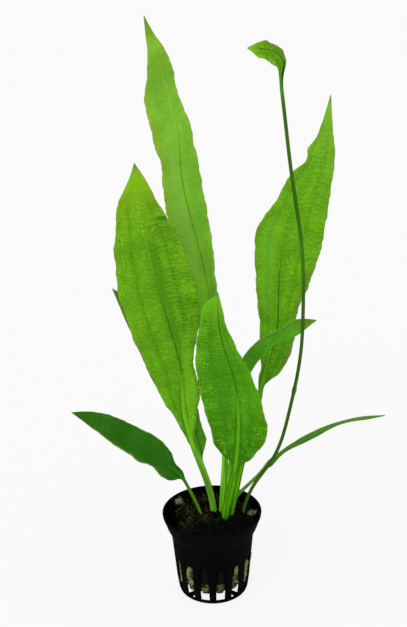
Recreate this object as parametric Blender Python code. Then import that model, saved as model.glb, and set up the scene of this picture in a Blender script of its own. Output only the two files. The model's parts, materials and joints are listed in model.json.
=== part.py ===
"""Potted amazon sword plant: nine leaves in a rockwool plug in a slotted net pot.

Lengths in the tables are millimetres.  The origin is the middle of the pot's
underside, +Z is up and the side seen from -Y is the front.
"""
import bmesh
import bpy
import math
import numpy as np

MM = 0.001

# ---- pot ------------------------------------------------------------------
SLOTS = 14                  # openings round the wall, and half as many in the floor
SEG = 4 * SLOTS             # wall divisions: two per opening, two per bar
DIVIDE = (-0.28, 0.0, 0.28, 0.5)  # where they fall, as shares of one opening and bar
SLOT_TURN = math.radians(11)  # an opening sits this far right of the front
HUB_R = 8.0                 # solid disc in the middle of the floor
# (outer radius, outer z, inner radius, inner z, row above is pierced)
POT_ROWS = [
    (HUB_R, 0.0, HUB_R, 1.5, True),
    (17.1, 0.0, 17.1, 1.5, False),
    (18.9, 0.5, 17.9, 1.8, False),
    (19.5, 2.3, 18.4, 2.5, True),
    (20.45, 9.0, 19.35, 9.0, True),
    (21.75, 24.0, 20.65, 24.0, False),
    (22.35, 31.0, 21.25, 31.0, False),
    (23.0, 36.4, 21.9, 36.6, False),
    (24.5, 39.6, 23.4, 39.9, False),
    (26.0, 43.7, 24.9, 43.9, False),
    (27.1, 46.4, 25.9, 46.4, False),
    (27.5, 48.4, 26.3, 48.2, False),
    (27.1, 49.0, 26.7, 49.0, False),
]

# ---- rockwool plug ---------------------------------------------------------
WOOL_SEG = 28
WOOL_SIDE = [(15.6, 7.4), (16.9, 8.6), (18.0, 15.0), (18.9, 23.0), (19.6, 31.0), (20.0, 36.0)]
WOOL_TOP_R = [22.6, 20.6, 16.0, 11.0, 5.5]
WOOL_SHIFT = 0.6            # the plug stands this far right of the pot's axis
FIT_GAP = 0.35              # clearance cut round everything buried in the wool

# ---- crown ------------------------------------------------------------------
CROWN_AT = (6.0, 3.6, 26.6)
CROWN_HALF = (9.6, 6.6, 4.0)

# ---- leaves -----------------------------------------------------------------
# route: middle line from the crown to the tip
# blade: (share of the route, width left of the line, width right of it)
# turn:  (share of the route, degrees the blade is turned about its line)
# taper: share of its thickness that the stem loses by the tip
# fold:  rise of the margins per mm of width, so the section is a shallow V
LEAVES = {
    "leaf_tall_back": dict(
        stem=1.4, taper=0.35, fold=0.12, turn=[(0, 0), (0.35, -8), (1, -18)],
        route=[(5, 3.6, 31), (5.5, 3.3, 46), (7.8, 9, 74), (7.5, 13, 105), (5, 16, 127),
               (1, 22, 172), (-4.5, 26, 198), (-9, 28, 217), (-12, 30, 235), (-13, 32, 256),
               (-16, 34, 272), (-20, 35, 288), (-25, 36, 303), (-28, 37, 314)],
        blade=[(0.22, 1.4, 1.4), (0.28, 2.2, 2.8), (0.34, 3.6, 4.4), (0.40, 6.6, 4.3),
               (0.46, 10.2, 4.2), (0.52, 12.3, 5.3), (0.58, 12.4, 7.8), (0.64, 11.7, 9.4),
               (0.69, 10.9, 10.1), (0.73, 10.0, 9.7), (0.77, 13.0, 8.0), (0.81, 13.9, 6.6),
               (0.85, 14.0, 4.6), (0.89, 10.4, 5.0), (0.93, 5.2, 5.0), (0.96, 2.6, 2.8),
               (1.0, 0.4, 0.4)]),
    "leaf_broad_left": dict(
        stem=1.95, taper=0.35, fold=0.15, turn=[(0, 0), (0.3, 10), (1, 16)],
        route=[(1.5, 4.2, 31), (1.1, 4.6, 46), (-4.5, 2, 74), (-10.8, 0, 96), (-14, -2, 119),
               (-14, -3, 131), (-18, -5, 156), (-25, -7, 187), (-28, -7, 204),
               (-32, -6, 226), (-33, -5, 237), (-34, -3, 249)],
        blade=[(0.26, 1.5, 1.5), (0.30, 1.9, 2.7), (0.34, 4.0, 5.6), (0.38, 7.4, 7.7),
               (0.42, 12.5, 9.6), (0.46, 15.0, 8.5), (0.50, 16.8, 7.6), (0.54, 18.8, 10.0),
               (0.58, 19.8, 14.0), (0.62, 20.2, 17.8), (0.67, 20.8, 20.3), (0.72, 20.4, 20.5),
               (0.77, 18.9, 19.4), (0.82, 17.0, 18.2), (0.86, 14.2, 15.6), (0.90, 11.6, 11.0),
               (0.94, 7.0, 7.6), (0.97, 3.1, 4.2), (1.0, 0.4, 0.4)]),
    "leaf_front": dict(
        stem=1.6, taper=0.35, fold=0.22, turn=[(0, 0), (0.3, 8), (0.6, 16), (1, 20)],
        route=[(7.2, 0.2, 31), (7.6, 0.2, 46), (12.3, -5, 74), (14.8, -12, 100), (15, -18, 120),
               (14, -22, 134), (9, -29, 156), (6, -34, 171), (5, -39, 184), (5, -44, 196)],
        blade=[(0.27, 1.5, 1.5), (0.30, 3.0, 4.3), (0.33, 6.6, 7.0), (0.36, 10.3, 9.6),
               (0.40, 12.8, 12.7), (0.45, 14.6, 15.4), (0.50, 16.2, 15.6), (0.55, 17.8, 14.1),
               (0.60, 18.4, 12.4), (0.66, 18.1, 10.8), (0.72, 16.7, 9.3), (0.78, 14.3, 7.5),
               (0.83, 11.6, 5.9), (0.88, 9.1, 4.0), (0.925, 7.9, 3.0), (0.955, 5.6, 2.1),
               (0.98, 2.1, 1.2), (1.0, 0.4, 0.4)]),
    "leaf_behind_left": dict(
        stem=1.2, taper=0.35, fold=0.10, turn=[(0, 0), (0.3, -15), (1, -25)],
        route=[(0.8, 8.4, 31), (1, 8.9, 46), (-4, 11, 68), (-10, 16, 91), (-24, 25, 121),
               (-42, 37, 152), (-52, 43, 166)],
        blade=[(0.26, 1.2, 1.2), (0.31, 1.8, 2.5), (0.35, 3.3, 5.6), (0.40, 5.0, 6.0),
               (0.46, 6.0, 7.2), (0.54, 7.1, 7.9), (0.62, 7.7, 8.1), (0.70, 7.1, 7.9),
               (0.78, 5.7, 7.1), (0.86, 4.5, 5.8), (0.92, 2.8, 4.4), (0.96, 1.4, 2.8),
               (1.0, 0.4, 0.4)]),
    "leaf_right_back": dict(
        stem=1.4, taper=0.35, fold=0.10, turn=[(0, 0), (0.35, 12), (1, 20)],
        route=[(10.9, 2.4, 31), (10.8, 2.8, 46), (14, 6.2, 59), (16.4, 9, 69), (26, 17, 102), (31, 22, 121),
               (38, 28, 146), (39, 31, 162), (40, 34, 178), (44, 38, 200), (50, 41, 217),
               (58, 43, 234), (65.3, 45, 257), (67.2, 45, 270)],
        blade=[(0.30, 1.3, 1.3), (0.33, 1.5, 1.2), (0.355, 2.4, 1.4), (0.368, 3.0, 3.4),
               (0.38, 3.0, 5.8), (0.394, 3.4, 7.7), (0.41, 5.0, 9.1), (0.43, 6.6, 10.1),
               (0.46, 8.5, 10.5), (0.50, 10.1, 10.3), (0.53, 11.0, 11.2), (0.56, 12.0, 14.4),
               (0.60, 13.0, 17.5), (0.65, 14.8, 20.1), (0.69, 15.6, 20.7), (0.72, 12.7, 20.0),
               (0.76, 9.4, 18.8), (0.80, 8.7, 16.2), (0.82, 7.4, 14.6), (0.835, 5.6, 13.6),
               (0.848, 4.1, 12.7), (0.859, 4.1, 11.7), (0.874, 5.2, 10.4), (0.885, 4.9, 9.4),
               (0.90, 3.5, 7.7), (0.93, 2.3, 4.6), (0.96, 1.5, 2.4), (1.0, 0.4, 0.4)]),
    "leaf_arching_right": dict(
        stem=1.1, taper=0.35, fold=0.30, turn=[(0, 0), (0.6, -8), (1, -8)],
        route=[(7.8, 5.4, 31), (8, 6, 46), (9.8, 7, 66), (13, 6, 92), (18, 4, 126), (24, 2, 142),
               (29, 1, 148), (36, 1, 153), (43, 1, 157), (57, 2, 161)],
        blade=[(0.52, 1.1, 1.1), (0.60, 1.9, 1.5), (0.65, 3.9, 2.4), (0.70, 5.0, 3.4),
               (0.75, 4.9, 4.0), (0.80, 4.8, 3.6), (0.85, 3.7, 3.6), (0.89, 3.2, 4.7),
               (0.925, 4.5, 4.6), (0.955, 3.7, 3.2), (0.98, 1.9, 1.5), (1.0, 0.4, 0.4)]),
    "leaf_low_left": dict(
        stem=1.0, taper=0.35, fold=0.12, turn=[(0, 0), (0.35, -30), (1, -35)],
        route=[(-1.5, 1, 31), (-6.6, 3.6, 46), (-12.4, -1, 64), (-17, -4.8, 75), (-31, -10, 90),
               (-42, -12, 99), (-53, -14, 108), (-63, -15, 115), (-72, -16, 120)],
        blade=[(0.34, 1.0, 1.0), (0.375, 1.6, 2.2), (0.40, 3.9, 2.5), (0.43, 6.2, 2.6),
               (0.47, 7.3, 3.7), (0.50, 7.0, 6.0), (0.54, 5.6, 8.1), (0.58, 5.5, 9.3),
               (0.62, 6.6, 9.5), (0.68, 5.8, 9.2), (0.75, 5.7, 8.4), (0.80, 5.0, 8.0),
               (0.85, 4.1, 6.8), (0.90, 3.2, 5.2), (0.95, 1.7, 2.9), (1.0, 0.4, 0.4)]),
    "leaf_low_right": dict(
        stem=1.05, taper=0.35, fold=0.06, turn=[(0, 0), (0.3, 80), (1, 84)],
        route=[(11, 8.4, 31), (12, 12.6, 46), (18.6, 13, 55), (26.8, 14, 63), (33.6, 16, 70),
               (45, 18, 78), (60, 21, 85), (79, 23, 91), (98, 22, 94)],
        blade=[(0.33, 0.9, 0.9), (0.365, 2.2, 3.0), (0.40, 2.3, 4.6), (0.45, 1.6, 3.0),
               (0.50, 1.8, 2.0), (0.56, 2.3, 3.1), (0.64, 2.5, 4.0), (0.70, 2.4, 3.0),
               (0.76, 2.0, 1.6), (0.83, 1.6, 1.4), (0.89, 1.6, 2.2), (0.935, 1.1, 1.9),
               (0.97, 0.6, 1.0), (1.0, 0.3, 0.3)]),
    "leaf_long_stalk": dict(
        stem=0.94, taper=0.04, fold=0.30, turn=[(0, 0), (0.9, -10), (1, -35)],
        route=[(14, 0.6, 31), (17.7, 3.6, 46), (22, 2.8, 60), (34, 0, 81), (42.3, -2, 109),
               (48.3, -6, 148), (49, -8, 170), (48, -10, 204), (42.6, -9, 244), (38.6, -7, 279),
               (38, -6, 291), (38, -8, 298), (35, -10, 302), (30, -12, 304), (21.5, -12, 305)],
        blade=[(0.88, 0.7, 0.7), (0.90, 1.4, 1.0), (0.92, 3.6, 1.8), (0.94, 5.4, 2.6),
               (0.96, 5.8, 3.4), (0.98, 4.6, 3.6), (0.992, 1.9, 1.6), (1.0, 0.4, 0.4)]),
}
BURIED = 24.0               # length of stem that is cut clear of the wool
BLADE_RINGS = 15
RING = [math.radians(30 * k) for k in range(12)]
RIB, SHEET = 0.65, 0.38     # half thickness at the middle line and of the sheet

# ---- loose tufts of pale wool on the plug: middle, half sizes ---------------
TUFTS = {
    "wool_tuft_left": ((-18.0, 14.8, 47.2), (2.2, 1.7, 1.3)),
    "wool_tuft_right": ((21.9, 3.0, 45.6), (2.3, 1.6, 1.3)),
}

COLOURS = {
    "net_pot": (0.012, 0.013, 0.016),
    "rockwool_plug": (0.035, 0.035, 0.012),
    "crown": (0.20, 0.16, 0.05),
    "leaf_tall_back": (0.14, 0.38, 0.03),
    "leaf_broad_left": (0.13, 0.37, 0.02),
    "leaf_front": (0.07, 0.28, 0.01),
    "leaf_behind_left": (0.06, 0.23, 0.01),
    "leaf_right_back": (0.10, 0.32, 0.02),
    "leaf_arching_right": (0.16, 0.34, 0.02),
    "leaf_low_left": (0.03, 0.14, 0.01),
    "leaf_low_right": (0.06, 0.21, 0.02),
    "leaf_long_stalk": (0.03, 0.12, 0.01),
    "wool_tuft_left": (0.30, 0.29, 0.14),
    "wool_tuft_right": (0.34, 0.31, 0.15),
}


def new_object(name, points, faces):
    """Make one closed object from points in millimetres and its faces."""
    mesh = bpy.data.meshes.new(name)
    mesh.from_pydata([tuple(c * MM for c in p) for p in points], [], faces)
    bm = bmesh.new()
    bm.from_mesh(mesh)
    bmesh.ops.triangulate(bm, faces=bm.faces)
    bmesh.ops.recalc_face_normals(bm, faces=bm.faces)
    bm.to_mesh(mesh)
    bm.free()
    mesh.shade_smooth()
    mesh.set_sharp_from_angle(angle=math.radians(50))
    obj = bpy.data.objects.new(name, mesh)
    bpy.context.scene.collection.objects.link(obj)
    return obj


def paint(obj, roughness):
    """Give the object its own plain material."""
    material = bpy.data.materials.new(obj.name)
    material.use_nodes = True
    shader = material.node_tree.nodes["Principled BSDF"]
    shader.inputs["Base Color"].default_value = (*COLOURS[obj.name], 1)
    shader.inputs["Roughness"].default_value = roughness
    obj.data.materials.append(material)


def smooth_line(at, values, where):
    """Natural cubic spline through (at, values), read off at the places `where`."""
    at = np.asarray(at, float)
    values = np.asarray(values, float).reshape(len(at), -1)
    gap = np.diff(at)
    system, right = np.eye(len(at)), np.zeros_like(values)
    slope = np.diff(values, axis=0) / gap[:, None]
    for i in range(1, len(at) - 1):
        system[i, i - 1:i + 2] = gap[i - 1], 2 * (gap[i - 1] + gap[i]), gap[i]
        right[i] = 6 * (slope[i] - slope[i - 1])
    bend = np.linalg.solve(system, right)
    where = np.atleast_1d(where)
    k = np.clip(np.searchsorted(at, where) - 1, 0, len(gap) - 1)
    a = ((at[k + 1] - where) / gap[k])[:, None]
    b, g = 1 - a, gap[k][:, None]
    curve = ((a**3 - a) * bend[k] + (b**3 - b) * bend[k + 1]) * g**2 / 6
    return a * values[k] + b * values[k + 1] + curve


def leaf_frame(leaf, s):
    """Middle line, sideways direction and outward direction at shares s of the route."""
    route = np.array(leaf["route"], float)
    walked = np.r_[0, np.cumsum(np.linalg.norm(np.diff(route, axis=0), axis=1))]
    walked /= walked[-1]
    middle = smooth_line(walked, route, s)
    ahead = smooth_line(walked, route, np.clip(s + 1e-3, 0, 1))
    along = ahead - smooth_line(walked, route, np.clip(s - 1e-3, 0, 1))
    along /= np.linalg.norm(along, axis=1)[:, None]
    side = np.cross(along, [0.0, -1.0, 0.0])
    side /= np.linalg.norm(side, axis=1)[:, None]
    face = np.cross(side, along)
    places, degrees = zip(*leaf["turn"])
    turn = np.radians(np.interp(s, places, degrees))[:, None]
    across = side * np.cos(turn) + face * np.sin(turn)
    return middle, across, face * np.cos(turn) - side * np.sin(turn)


def route_length(leaf):
    """Length of the route's straight pieces, mm."""
    return np.linalg.norm(np.diff(np.array(leaf["route"], float), axis=0), axis=1).sum()


def stem_places(leaf):
    """Shares of the route where the stem has a ring: close in the wool, wider above."""
    length, start = route_length(leaf), leaf["blade"][0][0]
    near = np.linspace(0, BURIED / length, 5)
    count = max(2, round((start * length - BURIED) / 20))
    return np.r_[near, np.linspace(near[-1], start, count + 1)[1:-1]]


def blade_widths(leaf, s):
    """Left and right half widths; the stem is round until the blade begins."""
    at, left, right = zip(*leaf["blade"])
    both = smooth_line(at, np.c_[left, right], np.clip(s, at[0], 1.0))
    return np.maximum(both, 0.4)


def make_leaf(name, leaf):
    """One leaf as a closed tube that flattens from a round stem into the blade."""
    start = leaf["blade"][0][0]
    s = np.r_[stem_places(leaf), start + (0.985 - start) * np.linspace(0, 1, BLADE_RINGS)]
    middle, across, face = leaf_frame(leaf, s)
    widths = blade_widths(leaf, s)
    flat = np.clip((s - start) / 0.07, 0, 1)
    flat = flat * flat * (3 - 2 * flat)
    taper = 1 - leaf["taper"] * s
    points = []
    for i in range(len(s)):
        for angle in RING:
            c, t = math.cos(angle), math.sin(angle)
            half = widths[i][1] if c > 0 else widths[i][0]
            round_part = leaf["stem"] * taper[i]
            reach = c * ((1 - flat[i]) * round_part + flat[i] * half)
            sheet = (RIB if abs(c) < 0.1 else SHEET) * np.sign(t) * (abs(t) > 0.1)
            lift = t * (1 - flat[i]) * round_part + flat[i] * sheet * (1 - 0.4 * s[i])
            lift += flat[i] * leaf["fold"] * abs(reach)
            points.append(middle[i] + across[i] * reach + face[i] * lift)
    n = len(RING)
    faces = [(i * n + k, i * n + (k + 1) % n, (i + 1) * n + (k + 1) % n, (i + 1) * n + k)
             for i in range(len(s) - 1) for k in range(n)]
    points += [middle[0], np.array(leaf["route"][-1], float)]
    last = (len(s) - 1) * n
    faces += [(len(points) - 2, (k + 1) % n, k) for k in range(n)]
    faces += [(len(points) - 1, last + k, last + (k + 1) % n) for k in range(n)]
    return new_object(name, points, faces)


def make_pot():
    """Thin-walled pot on a grid; pierced rows leave out every other pair of cells."""
    rows = len(POT_ROWS)
    turn = [SLOT_TURN + (k // 4 + DIVIDE[k % 4]) * 2 * math.pi / SLOTS for k in range(SEG)]
    points = []
    for ro, zo, ri, zi, _ in POT_ROWS:
        points += [(ro * math.sin(a), -ro * math.cos(a), zo) for a in turn]
        points += [(ri * math.sin(a), -ri * math.cos(a), zi) for a in turn]
    points += [(0, 0, 0.0), (0, 0, 1.5)]

    def v(row, k, inner):
        return (2 * row + inner) * SEG + k % SEG

    def hole(row, k):
        if not (0 <= row < rows - 1 and POT_ROWS[row][4]):
            return False
        return k % 8 < 6 if row == 0 else k % 4 < 2   # the floor has a rib at every other bar

    faces = []
    for k in range(SEG):
        faces.append((len(points) - 2, v(0, k, 0), v(0, k + 1, 0)))
        faces.append((len(points) - 1, v(0, k + 1, 1), v(0, k, 1)))
        faces.append((v(rows - 1, k, 0), v(rows - 1, k + 1, 0),
                      v(rows - 1, k + 1, 1), v(rows - 1, k, 1)))
        if hole(0, k):
            faces.append((v(0, k, 0), v(0, k + 1, 0), v(0, k + 1, 1), v(0, k, 1)))
        for row in range(rows - 1):
            if not hole(row, k):
                for inner in (0, 1):
                    faces.append((v(row, k, inner), v(row, k + 1, inner),
                                  v(row + 1, k + 1, inner), v(row + 1, k, inner)))
            if hole(row, k) != hole(row, k - 1):
                faces.append((v(row, k, 0), v(row + 1, k, 0), v(row + 1, k, 1), v(row, k, 1)))
            if row and hole(row, k) != hole(row - 1, k):
                faces.append((v(row, k, 0), v(row, k + 1, 0), v(row, k + 1, 1), v(row, k, 1)))
    return new_object("net_pot", points, faces)


def wool_top(x, y):
    """Height of the plug's top: low at the front, mounded round the stems."""
    mound = 1.3 * math.exp(-((x - 6) / 10) ** 2 - ((y - 3) / 7) ** 2)
    lumps = (0.7 * math.sin(0.45 * x + 1.3) * math.cos(0.38 * y - 0.4)
             + 0.4 * math.sin(0.9 * x - 0.7 * y + 2))
    return 44.3 + 0.06 * y + mound + lumps


def wool_reach(a):
    """Change of the top's radius at angle a: it stands away from the wall on the left."""
    return 0.35 * math.sin(5 * a + 1) - 3.2 * math.exp(-((a - 3.3) / 0.45) ** 2)


def make_wool():
    """Lumpy plug standing clear of the pot's wall."""
    points = [(WOOL_SHIFT, 0, WOOL_SIDE[0][1])]
    for r, z in WOOL_SIDE:
        for k in range(WOOL_SEG):
            a = 2 * math.pi * k / WOOL_SEG
            rr = r + 0.45 * math.sin(5 * a + z) - 0.3 * math.cos(8 * a - 0.7 * z)
            points.append((WOOL_SHIFT * z / 40 + rr * math.cos(a), rr * math.sin(a), z))
    for i, r in enumerate(WOOL_TOP_R):
        for k in range(WOOL_SEG):
            a = 2 * math.pi * k / WOOL_SEG
            rr = r + wool_reach(a) * (1, 0.8, 0.3, 0, 0)[i]
            x, y = WOOL_SHIFT + rr * math.cos(a), rr * math.sin(a)
            points.append((x, y, wool_top(x, y) - (2.0 if i == 0 else 0)))
    points.append((WOOL_SHIFT, 0, wool_top(WOOL_SHIFT, 0)))
    n, rings = WOOL_SEG, len(WOOL_SIDE) + len(WOOL_TOP_R)
    faces = [(0, 1 + (k + 1) % n, 1 + k) for k in range(n)]
    for i in range(rings - 1):
        a, b = 1 + i * n, 1 + (i + 1) * n
        faces += [(a + k, a + (k + 1) % n, b + (k + 1) % n, b + k) for k in range(n)]
    last = 1 + (rings - 1) * n
    faces += [(last + k, last + (k + 1) % n, len(points) - 1) for k in range(n)]
    return new_object("rockwool_plug", points, faces)


def make_lump(name, middle, half, wobble, rings=7, seg=10):
    """Rounded lump with an uneven skin."""
    points = [(middle[0], middle[1], middle[2] - half[2])]
    for i in range(1, rings):
        t = math.pi * i / rings
        for k in range(seg):
            a = 2 * math.pi * k / seg
            r = 1 + wobble * (math.sin(3 * a + 2 * t) + 0.6 * math.cos(5 * a - 3 * t))
            points.append((middle[0] + half[0] * r * math.sin(t) ** 0.7 * math.cos(a),
                           middle[1] + half[1] * r * math.sin(t) ** 0.7 * math.sin(a),
                           middle[2] - half[2] * math.cos(t)))
    points.append((middle[0], middle[1], middle[2] + half[2]))
    faces = [(0, 1 + (k + 1) % seg, 1 + k) for k in range(seg)]
    for i in range(rings - 2):
        a, b = 1 + i * seg, 1 + (i + 1) * seg
        faces += [(a + k, a + (k + 1) % seg, b + (k + 1) % seg, b + k) for k in range(seg)]
    last = 1 + (rings - 2) * seg
    faces += [(last + k, last + (k + 1) % seg, len(points) - 1) for k in range(seg)]
    return new_object(name, points, faces)


def stem_cutter(leaf):
    """Tube that clears the buried end of a stem."""
    s = np.r_[0, stem_places(leaf)[:5]]
    middle, across, face = leaf_frame(leaf, s)
    middle[0, 2] -= 1.5
    radius = leaf["stem"] + FIT_GAP
    ring = [2 * math.pi * k / 8 for k in range(8)]
    points = [middle[i] + radius * 1.08 * (across[i] * math.cos(a) + face[i] * math.sin(a))
              for i in range(len(s)) for a in ring]
    faces = [(i * 8 + k, i * 8 + (k + 1) % 8, (i + 1) * 8 + (k + 1) % 8, (i + 1) * 8 + k)
             for i in range(len(s) - 1) for k in range(8)]
    faces += [tuple(range(8)), tuple(range(len(points) - 8, len(points)))]
    return new_object("stem_cutter", points, faces)


def cut_away(target, cutters):
    """Take each cutter out of the target and keep the result as plain mesh."""
    for cutter in cutters:
        cutter.hide_render, cutter.display_type = True, "WIRE"
        change = target.modifiers.new("clear", "BOOLEAN")
        change.operation, change.solver, change.object = "DIFFERENCE", "EXACT", cutter
    graph = bpy.context.evaluated_depsgraph_get()
    result = bpy.data.meshes.new_from_object(target.evaluated_get(graph))
    target.modifiers.clear()
    target.data = result
    for cutter in cutters:
        bpy.data.objects.remove(cutter)


for old in list(bpy.data.objects):
    bpy.data.objects.remove(old)

pot = make_pot()
paint(pot, 0.45)

wool = make_wool()
cutters = [stem_cutter(leaf) for leaf in LEAVES.values()]
grown = [h + FIT_GAP for h in CROWN_HALF]
cutters.append(make_lump("crown_cutter", CROWN_AT, grown, 0.03))
cut_away(wool, cutters)
paint(wool, 1.0)

paint(make_lump("crown", CROWN_AT, CROWN_HALF, 0.03), 0.8)
for leaf_name, leaf_table in LEAVES.items():
    paint(make_leaf(leaf_name, leaf_table), 0.4)
for tuft_name, (tuft_at, tuft_half) in TUFTS.items():
    paint(make_lump(tuft_name, tuft_at, tuft_half, 0.06, 6, 10), 1.0)
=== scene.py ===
# %% [markdown]
# # A potted amazon sword plant
# The plant is a fan of strap-shaped leaves that rise on round stems from one crown.
# The crown sits in a plug of mineral wool, and the plug stands in a black slotted pot.
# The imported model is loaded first, as a fixed frame: every finer piece below is worked
# out in the same place, so nothing has to be fitted afterwards.

# %% Load the frame
import math
from functools import partialmethod, reduce

import bpy
import numpy as np
from mathutils import Matrix, Vector
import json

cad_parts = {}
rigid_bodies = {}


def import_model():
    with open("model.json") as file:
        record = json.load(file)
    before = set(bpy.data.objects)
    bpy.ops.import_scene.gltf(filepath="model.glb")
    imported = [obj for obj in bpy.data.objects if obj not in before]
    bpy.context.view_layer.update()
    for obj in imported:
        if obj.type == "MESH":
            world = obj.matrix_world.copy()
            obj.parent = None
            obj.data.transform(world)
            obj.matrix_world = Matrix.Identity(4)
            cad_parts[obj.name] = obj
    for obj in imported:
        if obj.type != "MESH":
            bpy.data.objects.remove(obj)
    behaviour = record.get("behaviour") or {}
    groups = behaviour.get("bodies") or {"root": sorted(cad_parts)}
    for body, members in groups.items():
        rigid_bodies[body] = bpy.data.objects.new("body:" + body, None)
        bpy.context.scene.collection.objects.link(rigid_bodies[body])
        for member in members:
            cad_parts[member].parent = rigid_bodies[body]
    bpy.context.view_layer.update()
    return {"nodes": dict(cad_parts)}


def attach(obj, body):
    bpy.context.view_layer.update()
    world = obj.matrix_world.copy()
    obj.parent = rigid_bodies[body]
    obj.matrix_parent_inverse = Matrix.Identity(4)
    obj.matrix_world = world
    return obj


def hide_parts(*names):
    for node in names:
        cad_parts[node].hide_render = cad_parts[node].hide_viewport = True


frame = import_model()
MM = 0.001

# %% [markdown]
# ## Camera, floor and light
# The plant is seen from a little above, with a long lens, so its upright leaves stay
# upright.  The floor is one very large pale sheet that glows a little, like a lit
# product table, so the ground shows white through the slots of the pot.  Lamps close by
# would leave pools of light on it, so the light is an even white tent and one broad sun.
# Reflections see a dimmer tent, as through a polarising filter: without that a white
# veil lies over the glossy leaves and the black pot looks grey.

# %% Camera
LENS_MM, LOOK_DOWN, ROLL, EYE = 68.9, 22.23, -1.456, (-0.0019, -0.5754, 0.4024)
scene = bpy.context.scene
scene.view_settings.view_transform = "Standard"
lens = bpy.data.cameras.new("camera")
lens.lens, lens.sensor_width, lens.clip_start = LENS_MM, 36.0, 0.01
camera = bpy.data.objects.new("camera", lens)
scene.collection.objects.link(camera)
tilt = Matrix.Rotation(math.radians(90 - LOOK_DOWN), 4, "X")
roll = Matrix.Rotation(math.radians(ROLL), 4, "Z")
camera.matrix_world = Matrix.Translation(EYE) @ tilt @ roll
scene.camera = camera
print("camera looks down", LOOK_DOWN, "degrees")

# %% Floor
WHITE, FLOOR_PAINT, SUN, REFLECTED = 0.957, 0.07, 1.5, 0.05
FAR = 9  # half the side of the floor, in metres
SUN_ON_FLOOR = 0.72  # how squarely the slanting sun meets the level floor


def dimmed_in_gloss(tree, seen, mirrored):
    """The strength seen by the eye and by soft light, but mirrored by glossy surfaces."""
    rays = tree.nodes.new("ShaderNodeLightPath")
    choose = tree.nodes.new("ShaderNodeMapRange")
    choose.inputs["To Min"].default_value = seen
    choose.inputs["To Max"].default_value = mirrored
    tree.links.new(rays.outputs["Is Glossy Ray"], choose.inputs["Value"])
    return choose.outputs[0]


floor_mesh = bpy.data.meshes.new("floor")
corners = [(-FAR, -FAR, 0), (FAR, -FAR, 0), (FAR, FAR, 0), (-FAR, FAR, 0)]
floor_mesh.from_pydata(corners, [], [(0, 1, 2, 3)])
floor = bpy.data.objects.new("floor", floor_mesh)
scene.collection.objects.link(floor)
table = bpy.data.materials.new("lit table")
table.use_nodes = True
paint = table.node_tree.nodes["Principled BSDF"]
paint.inputs["Base Color"].default_value = (FLOOR_PAINT,) * 3 + (1,)
paint.inputs["Roughness"].default_value = 1.0
paint.inputs["Specular IOR Level"].default_value = 0.0
paint.inputs["Emission Color"].default_value = (1, 1, 1, 1)
glow = WHITE - FLOOR_PAINT * (WHITE + SUN_ON_FLOOR * SUN / math.pi)
glow = dimmed_in_gloss(table.node_tree, glow, 0.0)
table.node_tree.links.new(glow, paint.inputs["Emission Strength"])
floor.data.materials.append(table)
print("floor is", 2 * FAR, "m square")

# %% Light
surround = bpy.data.worlds.new("white tent")
surround.use_nodes = True
tent = surround.node_tree.nodes["Background"]
tent.inputs["Color"].default_value = (1, 1, 1, 1)
strength = dimmed_in_gloss(surround.node_tree, WHITE, REFLECTED)
surround.node_tree.links.new(strength, tent.inputs["Strength"])
scene.world = surround
light = bpy.data.lights.new("key", "SUN")
light.energy, light.angle = SUN, math.radians(40)
key = bpy.data.objects.new("key", light)
key.rotation_euler = Vector((-0.45, -0.75, 0.95)).to_track_quat("Z", "Y").to_euler()
scene.collection.objects.link(key)
print("one broad sun in a white tent")

# %% [markdown]
# ## Helpers for surfaces
# Every new piece is a grid of points: rows along it and columns round it.  The helpers
# turn such an array into a mesh, draw a smooth line through a few chosen points, and give
# a gentle uneven ripple.  A sum of sine waves is used for the ripple because it needs
# nothing stored and gives the same lumps on every run.


# %% Mesh from a grid
def add_mesh(name, verts, faces):
    """A smooth object that sits at the origin, with its place in its mesh."""
    mesh = bpy.data.meshes.new(name)
    mesh.from_pydata(verts, [], faces)
    mesh.shade_smooth()
    obj = bpy.data.objects.new(name, mesh)
    scene.collection.objects.link(obj)
    return obj


def mesh_from_grid(name, points, keep=None, caps=(None, None)):
    """Quads between neighbouring rows and columns of points[row, column].

    The last column joins the first.  keep[row, column] marks the cells to make, and each
    cap is a point that closes the first or last row with a fan.
    """
    rows, cols = points.shape[:2]
    r, c = np.indices((rows - 1, cols))
    if keep is not None:
        r, c = r[keep], c[keep]
    r, c = r.ravel(), c.ravel()
    here, right = r * cols + c, r * cols + (c + 1) % cols
    quads = np.stack([here, right, right + cols, here + cols], 1)
    verts = points.reshape(-1, 3)
    faces = quads.tolist()
    ring = np.arange(cols)
    for cap, row, flip in ((caps[0], 0, True), (caps[1], rows - 1, False)):
        if cap is not None:
            verts = np.vstack([verts, cap])
            a, b = row * cols + ring, row * cols + np.roll(ring, -1)
            tip = np.full(cols, len(verts) - 1)
            faces += np.stack([b, a, tip] if flip else [a, b, tip], 1).tolist()
    return add_mesh(name, verts, faces)


def put_values(obj, name, values):
    """Store one number per point on the mesh, for its material to read."""
    layer = obj.data.attributes.new(name, "FLOAT", "POINT")
    full = np.zeros(len(obj.data.vertices), np.float32)
    full[: values.size] = values.ravel()
    layer.data.foreach_set("value", full)


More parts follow.
